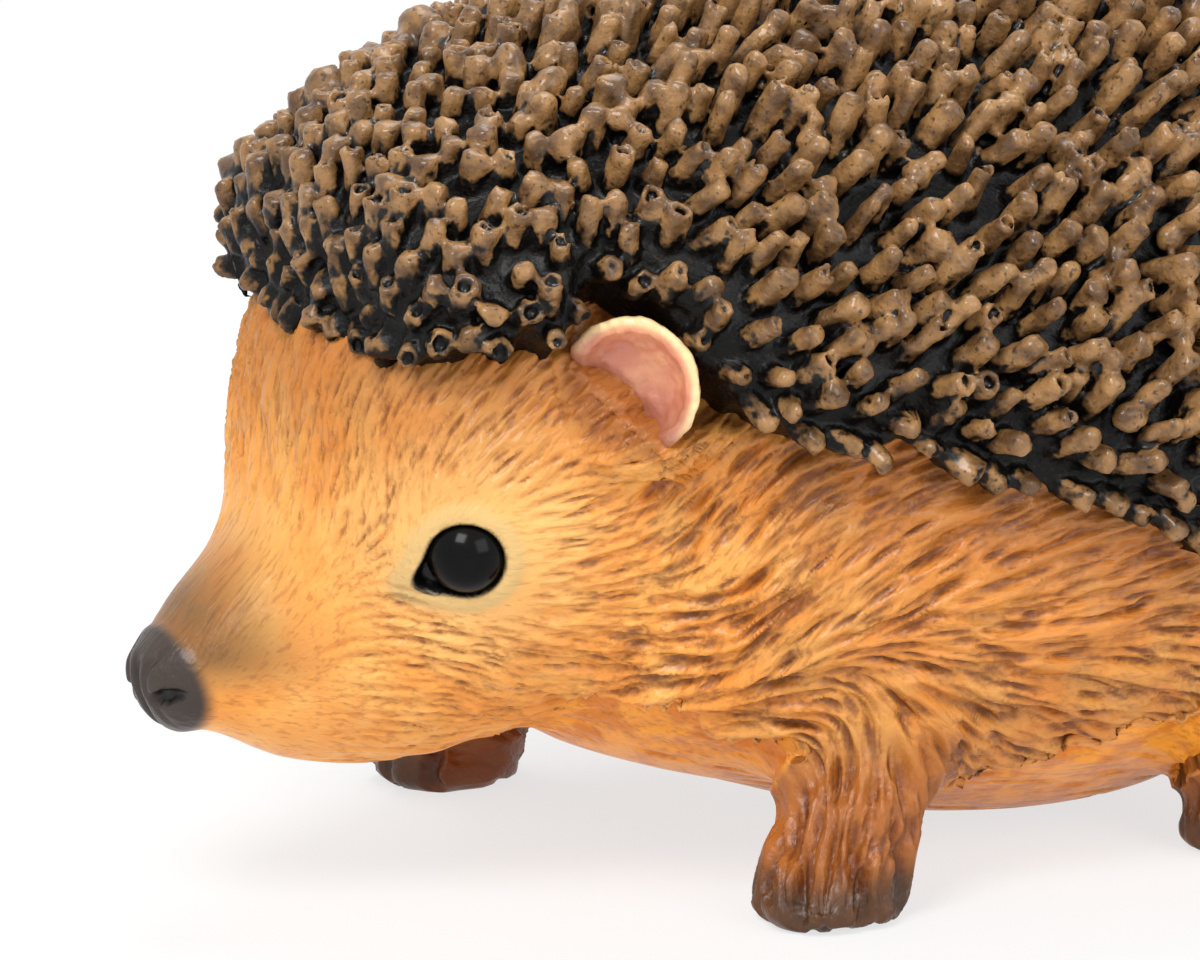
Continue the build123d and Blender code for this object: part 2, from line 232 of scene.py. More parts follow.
skin_out = normals_of(casting.data)
eye_centres = []
lid = np.full(len(skin), 99.0)
for node in EYE_NODES:
    centre = np.array(sum(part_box(node), Vector()) / 2) / MM
    eye_centres.append(centre)
    offset = skin - centre
    outward = skin_out[np.linalg.norm(offset, axis=1) < LID_REACH].mean(axis=0)
    outward /= np.linalg.norm(outward)
    height = offset @ outward
    across = offset - height[:, None] * outward
    spread = np.linalg.norm(across, axis=1)
    corner = LID_CORNER - (LID_CORNER @ outward) * outward
    corner /= np.linalg.norm(corner)
    toward = np.clip((across @ corner) / np.maximum(spread, 0.01), 0, 1)
    opening = spread * (1 - CORNER_PULL * toward**CORNER_POINT)
    near = (spread < LID_REACH) & (np.abs(height) < LID_DEPTH)
    target = LID_FLOOR + (LID_LIFT - LID_FLOOR) * ramp(opening, *LID_EDGE)
    target -= LID_SLOPE * ramp(opening, *LID_FALL)
    hold = ramp(spread, *LID_HOLD) * near
    skin += (hold * (target - height))[:, None] * outward
    lid = np.where(near, np.minimum(lid, opening), lid)

# Ear folds: round each ear the skin of the cheek swells over the front of the cup and folds down into it.
# They are part of the head's casting, worked while the master is soft.
EAR_OPENING = np.array([-0.69, 0.72, 0.06])
EAR_FOLD = np.array([-0.42, -0.47, -0.78])
EAR_OPENING /= np.linalg.norm(EAR_OPENING)
EAR_FOLD -= (EAR_FOLD @ EAR_OPENING) * EAR_OPENING
EAR_FOLD /= np.linalg.norm(EAR_FOLD)
FOLD_DEPTH = 16.0
FOLD_LEVEL, FOLD_DIP, FOLD_DROP = 0.6, 4.5, 6.0
FOLD_SPREAD = (16, 10.5)
CUP_FLOOR = -8.5
CUP_SPREAD = (12, 9.6)
for side in SIDES:
    opens, folds = on_side(EAR_OPENING, side), on_side(EAR_FOLD, side)
    offset = skin - on_side(EAR_CENTRE, side)
    depth = offset @ opens
    lower = offset @ folds
    spread = np.linalg.norm(offset - depth[:, None] * opens, axis=1)
    level = FOLD_LEVEL - FOLD_DIP * ramp(lower, 4.5, 0) - FOLD_DROP * ramp(lower, 1, -2)
    mound = np.maximum(level - depth, 0) * ramp(lower, -3, -1)
    pocket = np.minimum(CUP_FLOOR - depth, 0) * ramp(lower, 0.5, -2)
    shift = ramp(spread, *FOLD_SPREAD) * mound + ramp(spread, *CUP_SPREAD) * pocket
    skin += ((np.abs(depth) < FOLD_DEPTH) * shift)[:, None] * opens

# Fringe: under the cheeks and flanks the fur ends in ragged teeth over the smooth belly.
# The belly is scraped back below it in the master, so the fringe stands as a ledge.
FRINGE = [
    (-50, 30), (-38.6, 27.9), (-30.5, 24.5), (-22, 21.3), (-10, 15), (9, 13.5), (19, 17.5), (35, 20),
    (60, 21), (95, 27),
]
TOOTH_PITCH = 3.4
TOOTH_LENGTH = 2.2
LEDGE_DEPTH, LEDGE_EDGE = 2.0, 1.3
set_points(casting.data, skin)
skin_out = normals_of(casting.data)
x, y, z = skin.T
rag = np.array([noise.noise(Vector((p, math.copysign(4, q), 0.5))) for p, q in zip(x * 0.21, y)])
teeth = np.abs((x / TOOTH_PITCH + 1.6 * rag) % 1 - 0.4) * TOOTH_LENGTH + 2.4 * rag
bare = ramp(easy_curve(x, FRINGE) + teeth - z, 0, LEDGE_EDGE)
bare *= ramp(x, -54, -44) * (1 - ramp(leg_share, 0.1, 0.7))
skin = skin - skin_out * (LEDGE_DEPTH * bare * ramp(z, 3, 10))[:, None]

# Nose: a soft leather on the end of the snout, with a groove down the middle and two nostrils.
# It is cast as a button with a peg, pushed into the snout and filled round its edge.
NOSE_CENTRE = np.array([-97.0, 0, 32.5])
NOSE_RADII = np.array([10.0, 9.0, 7.2])
NOSTRIL_Y, NOSTRIL_Z, NOSTRIL_TILT = 4.9, 31.6, 0.35
NOSTRIL_HALF_WIDTH, NOSTRIL_HALF_HEIGHT = 2.3, 1.25
CREASE_Y, CREASE_Z = 2.3, 33
GROOVE_CUT, NOSTRIL_CUT, CREASE_CUT, LEATHER_RISE = 1.1, 1.7, 0.5, 0.55
leather = ramp(np.linalg.norm((skin - NOSE_CENTRE) / NOSE_RADII, axis=1), 1.12, 0.9)
groove = leather * ramp(np.abs(y), 1.3, 0.2) * ramp(z, 37.5, 33)
out = np.abs(y) - NOSTRIL_Y
wing = (out / NOSTRIL_HALF_WIDTH) ** 2 + ((z - NOSTRIL_Z - NOSTRIL_TILT * out) / NOSTRIL_HALF_HEIGHT) ** 2
nostril = leather * ramp(wing, 1.3, 0.3) * ramp(x, -90, -93)
up = np.abs(z - CREASE_Z)
crease = leather * ramp(np.abs(np.abs(y) - CREASE_Y - 0.16 * up**1.5), 0.8, 0.1) * ramp(up, 5.5, 3.5)
dint = GROOVE_CUT * groove + NOSTRIL_CUT * nostril + CREASE_CUT * crease - LEATHER_RISE * leather
skin = skin - skin_out * dint[:, None]
set_points(casting.data, skin)
skin_out = normals_of(casting.data)

# Fur: strokes of a loop tool in the skin, which follow the lie of the coat and run deeper on the flanks.
# Each row of the lie is a place on one side of the animal, then the way that the fur runs there.
FUR_LIE = [
    (-80, 9, 69, 0.18, 0.10, 0.95), (-79, 6, 74, 0.23, 0.05, 0.91), (-79, 15, 67, 0.18, 0.20, 0.95),
    (-75, 25, 66, 0.22, 0.18, 0.96), (-72, 27, 68, 0.33, 0.18, 0.93), (-65, 31, 73, 0.66, 0.14, 0.74),
    (-60, 34, 69, 0.76, 0.17, 0.62), (-56, 35, 64, 0.89, 0.19, 0.41), (-52, 36, 58, 0.98, 0.15, 0.11),
    (-56, 35, 56, 0.97, 0.18, -0.15), (-46, 35, 50, 0.98, 0.13, 0.13), (-57, 31, 44, 0.94, 0.12, -0.31),
    (-48, 31, 38, 0.93, 0.07, -0.35), (-40, 35, 40, 0.74, 0.66, 0.16), (-70, 25, 42, 0.84, 0.52, -0.14),
    (-72, 19, 33, 0.88, 0.47, -0.08), (-59, 25, 34, 0.87, -0.09, -0.48), (-42, 28, 30, 0.66, 0.74, 0.10),
    (-82, 16, 40, 0.70, 0.52, 0.49), (-84, 5, 52, 0.50, 0.10, 0.86), (-88, 5, 47, 0.71, 0.05, 0.69),
    (-44, 36, 54, 0.92, 0.08, 0.39), (-37, 38, 54, 0.47, 0.27, 0.84), (-28, 43, 56, 0.62, 0.24, 0.75),
    (-21, 47, 48, 0.68, 0.27, 0.68), (-12, 50, 55, 0.87, 0.21, 0.46), (-10, 50, 44, 0.79, 0.26, 0.56),
    (-3, 52, 49, 0.87, 0.15, 0.46), (5, 53, 46, 0.93, 0.12, 0.35), (2, 52, 42, 0.98, 0.13, -0.13),
    (-3, 50, 38, 0.97, 0.14, -0.20), (-3, 48, 31, 0.88, -0.02, -0.47), (-7, 47, 29, 0.81, -0.06, -0.58),
    (-13, 46, 25, 0.12, 0.27, -0.96), (-5, 47, 22, 0.48, -0.03, -0.88), (-15, 46, 21, -0.46, 0.21, -0.86),
    (-26, 41, 31, 0.86, 0.50, 0.13), (-35, 36, 32, 0.56, 0.66, 0.50), (-28, 42, 36, 0.42, 0.47, 0.78),
    (-39, 35, 39, 0.77, 0.64, 0.02), (-30, 35, 27, 0.90, 0.35, -0.26), (-19, 47, 61, 0.91, 0.29, 0.29),
    (-3, 51, 58, 0.96, 0.15, 0.22), (-19, 49, 13, -0.33, 0.36, -0.87), (-13, 50, 13, -0.34, 0.23, -0.91),
    (-83, 10, 26, 0.94, 0.30, -0.16), (-40, 39, 66, 0.62, 0.20, 0.76), (-60, 12, 18, 1, 0, -0.2),
    (25, 52, 45, 0.95, 0.05, 0.20), (25, 48, 30, 0.90, 0, -0.35), (45, 48, 40, 0.90, -0.2, 0.1),
    (45, 44, 26, 0.5, 0, -0.85), (55, 42, 14, -0.3, 0.2, -0.9), (70, 36, 35, 0.75, -0.5, -0.4),
    (85, 18, 32, 0.3, -0.5, -0.8), (60, 20, 12, 0.95, -0.2, 0.1), (0, 20, 4, 1, 0, 0),
    (-40, 15, 12, 1, 0, -0.3),
]
LIE_SPREAD = 5.0
SNOUT_TIP = np.array([-96, 0, 33])
SWELL_HEIGHT, LOCK_CUT, SCOOP_CUT, NARROW_CUT = 0.5, 1.2, 1.55, 1.1
SEED = 11
draws = np.random.default_rng(SEED)

mirror_skin = skin * [1, 0, 1] + np.abs(skin) * [0, 1, 0]
lie_rows = np.array(FUR_LIE, float)
gap = ((mirror_skin[:, None, :] - lie_rows[None, :, :3]) ** 2).sum(axis=2)
pull = 1 / (gap + LIE_SPREAD**2) ** 2
lie = pull @ lie_rows[:, 3:] / pull.sum(axis=1)[:, None]
lie[:, 1] *= np.sign(skin[:, 1])
lie -= (lie * skin_out).sum(axis=1)[:, None] * skin_out
lie /= np.maximum(np.linalg.norm(lie, axis=1), 0.05)[:, None]

x, y, z = skin.T
below_edge = easy_curve(x, COAT_EDGE) - z
snout = np.linalg.norm(skin - SNOUT_TIP, axis=1)
belly = ramp(z, 16, 4) * ramp(np.abs(y), 34, 24)
paw = ramp(z, 13, 5) * ramp(np.abs(y), 27, 31)
furry = ramp(lid, 8.5, 12) * ramp(snout, 15, 40) * (1 - 0.9 * np.maximum(belly, bare)) * (1 - 0.8 * paw)
furry *= ramp(below_edge, -HIDDEN_DEPTH, -HIDDEN_DEPTH + 2)
shaggy = furry * ramp(x, -62, -38)

skin_tree = KDTree(len(skin))
for index, point in enumerate(skin):
    skin_tree.insert(point, index)
skin_tree.balance()


def score(depth, place, width, cut):
    """Presses one touch of the loop tool into the skin and returns the nearest point."""
    touched = skin_tree.find_range(place, width)
    for _, index, distance in touched:
        depth[index] = max(depth[index], cut * (1 - (distance / width) ** 2))
    return touched[0][1] if touched else None


def cut_strokes(cover, spacing, length, half_width, step):
    """Depth from 0 to 1 of tapered strokes that follow the lie, where the cover is high."""
    depth = np.zeros(len(skin))
    order = draws.permutation(len(skin))
    cells = np.floor(skin[order] / spacing).astype(int)
    starts = order[np.unique(cells, axis=0, return_index=True)[1]]
    starts = starts[cover[starts] > draws.random(len(starts)) * 0.9 + 0.05]
    for start in starts:
        run = length * draws.uniform(0.5, 1.5)
        width = half_width * draws.uniform(0.75, 1.25)
        strength = draws.uniform(0.45, 1.0) * min(1, 0.35 + cover[start])
        heading = lie[start] + draws.normal(0, 0.10, 3)
        place = skin[start]
        steps = max(3, int(run / step))
        for count in range(steps):
            taper = math.sin(math.pi * (count + 0.5) / steps) ** 0.6
            nearest = score(depth, place, width * (0.6 + 0.4 * taper), strength * taper)
            if nearest is not None:
                heading = heading * 0.7 + lie[nearest] * 0.3
            place = place + heading / np.linalg.norm(heading) * step
    return depth


locks = cut_strokes(shaggy, spacing=8.0, length=15.0, half_width=2.0, step=0.9)
scoops = cut_strokes(shaggy, spacing=4.0, length=9.0, half_width=1.2, step=0.55)
narrow = cut_strokes(furry * ramp(x, -30, -48), spacing=2.05, length=6.5, half_width=0.62, step=0.42)
narrow = np.maximum(narrow, cut_strokes(shaggy, spacing=3.3, length=8.5, half_width=0.66, step=0.45))

# Toes: clefts that start on the back of each paw and run down between the toes, cut with the same tool.
# Each paw has its place on the ground and the way that it points, in degrees from straight ahead.
PAWS = [(-18, -42, -65), (-33, 42, 20), (50, -38, -40), (60, 38, 40)]
PAW_HALF_LENGTH = 11.0
PAW_HALF_WIDTH = 10.0
PAW_TAPER = 0.030
CLEFT_SPREAD = (-74, -27, 27, 74)
CLEFT_LOW, CLEFT_HIGH, CLEFT_STEP = 2, 15, 0.4
CLEFT_HALF_WIDTH, CLEFT_CUT = 1.7, 1.5
cleft = np.zeros(len(skin))
for paw_x, paw_y, heading in PAWS:
    for angle in CLEFT_SPREAD:
        swing = math.radians(heading + angle)
        for level in np.arange(CLEFT_LOW, CLEFT_HIGH, CLEFT_STEP):
            draw_in = 1 - PAW_TAPER * level
            along = PAW_HALF_LENGTH * draw_in * math.cos(swing)
            across = PAW_HALF_WIDTH * draw_in * math.sin(swing)
            spot = skin_tree.find((paw_x - along, paw_y + across, level))[0]
            score(cleft, spot, CLEFT_HALF_WIDTH, float(ramp(level, CLEFT_HIGH, 8)))

swell = np.array([noise.noise(Vector(p) * 0.11) for p in skin])
cut = LOCK_CUT * locks + SCOOP_CUT * scoops + NARROW_CUT * narrow + CLEFT_CUT * cleft
skin = skin + skin_out * (SWELL_HEIGHT * swell * furry - cut)[:, None]
skin[:, 2] = np.maximum(skin[:, 2], 0)
set_points(casting.data, skin)

# Paint of the fur: orange cream, red brown under the coat's edge and down the legs, partly paint and partly
# painted shade, with a brown wash left in the cuts.
# It is sprayed and brushed on by hand, wiped back and varnished; the mesh stores where each layer lies.
far_eye = np.min([np.linalg.norm(skin - centre, axis=1) for centre in eye_centres], axis=0)
far_ear = np.min([np.linalg.norm(skin - on_side(EAR_CENTRE, side), axis=1) for side in SIDES], axis=0)
# Partly painted shade: the fur is darkened red brown just under the coat's edge, over the flank and lower
# down the legs, where shade falls.
dark_brow = 0.66 * ramp(below_edge, 28, 5) * ramp(x, -25, -45)
dark_flank = np.maximum(0.78 * ramp(below_edge, 30, 4), 0.35) * ramp(x, -40, -20) * (1 - bare)
dark_leg = ramp(leg_share, 0.2, 0.9) * ramp(z, 34, 16)
face_wash = narrow * (0.78 + 0.22 * ramp(x, -42, -28))
toes = leg_share * ramp(z, 10.5, 4) * (1 - 0.7 * ramp(y, 20, 30) * ramp(x, -43, -37))
muzzle = 0.85 * ramp(snout, 27, 9) * ramp(z, 30, 38)
layers = {
    "wash": np.maximum.reduce([0.5 * locks, 0.9 * scoops, face_wash, cleft]),
    "brown_paint_and_shade": np.clip(np.maximum.reduce([dark_brow, dark_flank, dark_leg]), 0, 1),
    "pale": np.maximum(ramp(far_eye, 24, 8), 0.3 * ramp(snout, 44, 24) * ramp(snout, 12, 20)),
    "ring": ramp(lid, 8.8, 7.2),
    "ink": ramp(lid, 5.7, 5.2),
    "smoke": np.maximum(muzzle, toes),
    "leather": leather,
    # Painted shade: near black in the nostrils and down the groove of the nose.
    "nose_recess_shade": np.maximum(nostril, 0.6 * groove),
    "bare": bare,
    # Painted shade: brown on the fur round the base of each ear, in the fold.
    "ear_fold_shade": ramp(far_ear, 12, 7),
}
for name, values in layers.items():
    keep_values(casting.data, name, values)
SLANTS = (0, 45, 90, 135)
slant = np.arctan2(lie[:, 2], lie[:, 0])
shares = np.maximum(np.cos(2 * (slant[:, None] - np.radians(SLANTS))), 0) ** 1.5
shares /= np.maximum(shares.sum(axis=1), 1e-6)[:, None]
lie_shares = casting.data.attributes.new("lie_shares", "FLOAT_COLOR", "POINT")
lie_shares.data.foreach_set("color", shares.astype(np.float32).ravel())


class Paint:
    """One socket of a material's nodes, which takes part in sums as a number does."""

    def __init__(self, tree, socket=None):
        self.tree = tree
        self.socket = socket

    def node(self, kind, settings=None, inputs=None, outlet=0):
        """Adds any node: its settings first, then the values or links of its sockets."""
        made = self.tree.nodes.new(kind)
        for name, value in (settings or {}).items():
            setattr(made, name, value)
        for name, value in (inputs or {}).items():
            if isinstance(value, Paint):
                self.tree.links.new(value.socket, made.inputs[name])
            else:
                made.inputs[name].default_value = value
        return Paint(self.tree, made.outputs[outlet])

    def maths(self, operation, first, second):
        return self.node("ShaderNodeMath", {"operation": operation}, {0: first, 1: second})

    def __add__(self, other):
        return self.maths("ADD", self, other)

    def __radd__(self, other):
        return self.maths("ADD", other, self)

    def __sub__(self, other):
        return self.maths("SUBTRACT", self, other)

    def __rsub__(self, other):
        return self.maths("SUBTRACT", other, self)

    def __mul__(self, other):
        return self.maths("MULTIPLY", self, other)

    def __rmul__(self, other):
        return self.maths("MULTIPLY", other, self)

    def value(self, name):
        """A number that the mesh stores at each point."""
        return self.node("ShaderNodeAttribute", {"attribute_name": name}, outlet="Fac")

    def place(self):
        """Where a point lies in the figurine's own frame."""
        return self.node("ShaderNodeTexCoord", outlet="Object")

    def mottle(self, size, detail=3.0, place=None):
        """Soft random patches of about the given size in millimetres."""
        inputs = {"Vector": place or self.place(), "Scale": 1 / (size * MM), "Detail": detail}
        return self.node("ShaderNodeTexNoise", {"noise_dimensions": "3D"}, inputs)

    def band(self, value, low, high):
        """0 below low and 1 above high."""
        inputs = {"Value": value, "From Min": low, "From Max": high}
        return self.node("ShaderNodeMapRange", {"interpolation_type": "SMOOTHSTEP"}, inputs)

    def mix(self, share, under, over):
        """One colour laid over another by a share."""
        return self.node("ShaderNodeMix", {"data_type": "RGBA"}, {0: share, 6: under, 7: over}, 2)

    def relief(self, height, depth):
        """A bump of the given depth in millimetres."""
        return self.node("ShaderNodeBump", None, {"Height": height, "Distance": depth * MM, "Strength": 1.0})


def tint(code):
    """A paint colour, written as on a colour card, in the renderer's own terms."""
    parts = [int(code[i:i + 2], 16) / 255 for i in (0, 2, 4)]
    return [c / 12.92 if c < 0.04045 else ((c + 0.055) / 1.055) ** 2.4 for c in parts] + [1.0]


VARNISH_ROUGHNESS = 0.18


def varnished(name, colour, gloss, relief, coat, specular=0.5):
    """A material of paint under clear varnish; each look is a number or a function that builds it."""
    material = bpy.data.materials.new(name)
    material.use_nodes = True
    paint = Paint(material.node_tree)
    shader = material.node_tree.nodes["Principled BSDF"]
    shader.inputs["Coat Roughness"].default_value = VARNISH_ROUGHNESS
    shader.inputs["Specular IOR Level"].default_value = specular
    looks = {"Base Color": colour, "Roughness": gloss, "Normal": relief, "Coat Weight": coat}
    for socket, look in looks.items():
        if callable(look):
            material.node_tree.links.new(look(paint).socket, shader.inputs[socket])
        elif look is not None:
            shader.inputs[socket].default_value = look
    return material


def streaks(paint, width, stretch):
    """Fine lines along the lie of the fur, from four slants mixed by the shares that the mesh stores."""
    shares = paint.node("ShaderNodeAttribute", {"attribute_name": "lie_shares"}, outlet="Color")
    parts = [paint.node("ShaderNodeSeparateColor", None, {0: shares}, channel) for channel in range(3)]
    parts.append(paint.node("ShaderNodeAttribute", {"attribute_name": "lie_shares"}, outlet="Alpha"))
    total = 0.0
    for part, slant in zip(parts, SLANTS):
        laid = {"Vector": paint.place(), "Rotation": (0, -math.radians(slant), 0), "Scale": (stretch, 1, 1)}
        along = paint.node("ShaderNodeMapping", {"vector_type": "TEXTURE"}, laid)
        total = total + part * paint.mottle(width, 2.0, along)
    return total


def fur_colour(paint):
    """Orange cream, pale round the eye and red brown by the coat and down the legs, partly as painted shade,
    with brown wash in the strokes.
    """
    blotch = paint.mottle(9.0)
    fleck = paint.mottle(1.1)
    line = streaks(paint, 0.7, 7.0)
    colour = paint.mix(paint.band(blotch, 0.35, 0.7), tint("EC9840"), tint("F6B25C"))
    colour = paint.mix(paint.value("pale") * 0.6, colour, tint("FCC478"))
    belly = paint.mix(paint.band(paint.mottle(5.0), 0.4, 0.62), tint("FFA838"), tint("E08428"))
    colour = paint.mix(paint.value("bare") * 0.95, colour, belly)
    # Red brown paint and painted shade under the coat's edge, on the flank and down the legs.
    colour = paint.mix(paint.value("brown_paint_and_shade") * (0.55 + 0.6 * blotch), colour, tint("955222"))
    colour = paint.mix(paint.band(line, 0.50, 0.66) * 0.35, colour, tint("94521F"))
    stain = paint.band(paint.value("wash") + 0.4 * (fleck - 0.5) + 0.4 * (line - 0.5), 0.31, 0.90)
    colour = paint.mix(stain * 0.88, colour, tint("6E3715"))
    # Painted shade in the fold round each ear.
    colour = paint.mix(paint.value("ear_fold_shade") * 0.6, colour, tint("8A4C26"))
    colour = paint.mix(paint.value("ring") * 0.8, colour, tint("D6B678"))
    colour = paint.mix(paint.value("smoke") * (0.6 + 0.6 * blotch), colour, tint("46301F"))
    colour = paint.mix(paint.value("leather"), colour, paint.mix(blotch, tint("251E1A"), tint("4C3F38")))
    # Painted shade, near black, in the nostrils and the groove of the nose.
    colour = paint.mix(paint.value("nose_recess_shade"), colour, tint("0E0C0B"))
    return paint.mix(paint.value("ink"), colour, tint("0B0A0A"))


def fur_gloss(paint):
    return 0.30 + 0.22 * paint.mottle(2.0)


def fur_relief(paint):
    return paint.relief(streaks(paint, 0.8, 6.0) + 0.35 * paint.mottle(0.8, 4.0), 0.32)


HEART = Vector((0, 0, 50)) * MM
CONE_DEPTH = 0.3
VALUE_FIELDS = {"FLOAT": ("value", 1), "FLOAT_COLOR": ("color", 4)}


def rim_loops(part):
    """The open rims of a part, each followed along its own faces, so that rims that touch stay apart."""
    rims = {e.index: e for e in part.edges if e.is_boundary}
    loops = []
    while rims:
        edge = start = rims.popitem()[1]
        vert = edge.verts[0]
        loop = []
        while not loop or edge != start:
            loop.append(edge)
            rims.pop(edge.index, None)
            face = edge.link_faces[0]
            edge = next(e for e in face.edges if e != edge and vert in e.verts)
            while not edge.is_boundary:
                face = next(f for f in edge.link_faces if f != face)
                edge = next(e for e in face.edges if e != edge and vert in e.verts)
            vert = edge.other_vert(vert)
        loops.append(loop)
    return loops


def close_within(part):
    """Closes each open rim of a part with a cone that ends deep inside the figurine."""
    part.edges.index_update()
    for loop in rim_loops(part):
        for edge in loop:
            edge.smooth = False
        grown = bmesh.ops.extrude_edge_only(part, edges=loop)["geom"]
        ends = [g for g in grown if isinstance(g, bmesh.types.BMVert)]
        middle = sum((v.co for v in ends), Vector()) / len(ends)
        bmesh.ops.pointmerge(part, verts=ends, merge_co=middle.lerp(HEART, CONE_DEPTH))


def owned_part(source, index):
    """The faces of a mesh that carry a number, closed inside, as a mesh of their own."""
    corners, counts, owners = face_table(source)
    mine = owners == index
    used, renumbered = np.unique(corners[np.repeat(mine, counts)], return_inverse=True)
    faces = np.split(renumbered, np.cumsum(counts[mine])[:-1])
    mesh = bpy.data.meshes.new("part")
    mesh.from_pydata((points_of(source)[used] * MM).tolist(), [], [f.tolist() for f in faces])
    for stored in source.attributes:
        if stored.domain == "POINT" and stored.data_type in VALUE_FIELDS:
            field, width = VALUE_FIELDS[stored.data_type]
            values = np.empty(len(source.vertices) * width, np.float32)
            stored.data.foreach_get(field, values)
            kept = values.reshape(-1, width)[used].ravel()
            mesh.attributes.new(stored.name, stored.data_type, "POINT").data.foreach_set(field, kept)
    part = bmesh.new()
    part.from_mesh(mesh)
    close_within(part)
    for face in part.faces:
        face.smooth = True
    part.to_mesh(mesh)
    part.free()
    return mesh


def show(name, mesh, material, node):
    """Puts a finished piece in the scene, in place of its CAD node."""
    mesh.name = name
    mesh.materials.clear()
    mesh.materials.append(material)
    piece = bpy.data.objects.new(name, mesh)
    bpy.context.scene.collection.objects.link(piece)
    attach(piece, "root")
    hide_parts(node)


FUR_NAMES = [
    "torso_left_fur", "head_fur", "front_left_fur", "front_right_fur", "rear_left_fur", "rear_right_fur",
    "nose_tip", "torso_right_fur",
]
TORSO_RIGHT = 7
corners, counts, owners = face_table(casting.data)
first_corner = corners[np.cumsum(counts) - counts]
owners[(owners == 0) & (skin[first_corner, 1] > 0)] = TORSO_RIGHT
casting.data.polygons.foreach_set("material_index", owners.astype(np.int32))
fur_paint = varnished("fur_paint", fur_colour, fur_gloss, fur_relief, 0.16, 0.3)
for index, (node, name) in enumerate(zip(FUR_NODES + ["body"], FUR_NAMES)):
    slot = "nose_paint" if node == "nose" else "fur_paint"
    show(name, owned_part(casting.data, index), fur_paint, node)
bpy.data.objects.remove(casting)

# Eyes: beads of black glass or resin, polished all round.
# Each is pressed into its lid while the filler is soft, and gets no varnish.
EYE_RADIUS = 5.6
BEAD_SEGMENTS, BEAD_RINGS = 48, 32


def eye_colour(paint):
    return paint.mix(paint.mottle(3.0), tint("050505"), tint("0E0C0B"))


def eye_gloss(paint):
    return 0.10 + 0.10 * paint.mottle(4.0)


eye_black = varnished("eye_black", eye_colour, eye_gloss, None, 0.0, 0.12)
for node, centre in zip(EYE_NODES, eye_centres):
    bead = bmesh.new()
    bmesh.ops.create_uvsphere(bead, u_segments=BEAD_SEGMENTS, v_segments=BEAD_RINGS, radius=EYE_RADIUS * MM)
    bmesh.ops.translate(bead, verts=bead.verts, vec=Vector(centre) * MM)
    for face in bead.faces:
        face.smooth = True
    mesh = bpy.data.meshes.new(node)
    bead.to_mesh(mesh)
    bead.free()
    show(node + "_bead", mesh, eye_black, node)

# Ears: thin cups of cast resin, pushed into pockets in the head at the edge of the coat and glued.
# They are painted dusky pink inside, with a cream rim, and varnished. Each is a shallower cup than its
# CAD node, turned from the way that the node opens to the way that the photographed ear does.
EAR_GRAIN, EAR_ROUNDS = 0.4 * MM, 5
EAR_DISH = 0.5
EAR_SINK = 4.0
EAR_WRINKLE = 0.45
EAR_RIM = (8.0, 8.9)
CUP_OPENING = np.array([-0.858, 0.495, -0.139])


def ear_colour(paint):
    """Dusky pink in the cup, darker mauve towards the fold and deep in the lower cup, partly as painted
    shade, cream on the rim and orange cream behind.
    """
    blush = paint.mix(paint.band(paint.mottle(5.0), 0.35, 0.7), tint("DA8768"), tint("F0AC7E"))
    # Darker mauve towards the fold and the deepest part of the cup: partly the ear's paint, partly painted
    # shade.
    blush = paint.mix(paint.value("lower") * 0.7, blush, tint("94594A"))
    outside = paint.mix(paint.value("inside"), tint("EFB06E"), blush)
    return paint.mix(paint.value("rim") * (0.5 + 0.7 * paint.mottle(2.5)), outside, tint("F8DDA2"))


def ear_gloss(paint):
    return 0.32 + 0.2 * paint.mottle(2.0)


def ear_relief(paint):
    return paint.relief(paint.mottle(1.1, 4.0), 0.25)


ear_paint = varnished("ear_paint", ear_colour, ear_gloss, ear_relief, 0.4)
for node, side in (("left_ear", -1), ("right_ear", 1)):
    ear = joined_copy(node + "_copy", [node])
    recast(ear, EAR_GRAIN)
    centre, straight, opens = (on_side(place, side) for place in (EAR_CENTRE, CUP_OPENING, EAR_OPENING))
    cup = soften(points_of(ear.data), pairs_of(ear.data), 0.5, EAR_ROUNDS) - centre
    cup -= (1 - EAR_DISH) * (cup @ straight)[:, None] * straight
    cup = cup @ np.array(Vector(straight).rotation_difference(Vector(opens)).to_matrix()).T
    lower = cup @ on_side(EAR_FOLD, side)
    depth = cup @ opens
    spread = np.linalg.norm(cup, axis=1)
    set_points(ear.data, cup)
    wrinkle = np.array([noise.noise(Vector(p) * 0.3) + 0.5 * noise.noise(Vector(p) * 0.8) for p in cup])
    cup = cup + normals_of(ear.data) * (EAR_WRINKLE * wrinkle)[:, None]
    cup = cup - (EAR_SINK * ramp(lower, 0, 7))[:, None] * opens
    set_points(ear.data, cup + centre)
    keep_values(ear.data, "rim", ramp(depth, -0.9, 0.1) * ramp(lower, 3, -4) * ramp(spread, *EAR_RIM))
    # Where the cup is darkened towards the fold, partly as painted shade.
    keep_values(ear.data, "lower", ramp(lower, -7, 3))
    keep_values(ear.data, "inside", ramp(normals_of(ear.data) @ opens, -0.1, 0.3))
    for face in ear.data.polygons:
        face.use_smooth = True
    show(node + "_cup", ear.data, ear_paint, node)
    bpy.data.objects.remove(ear)

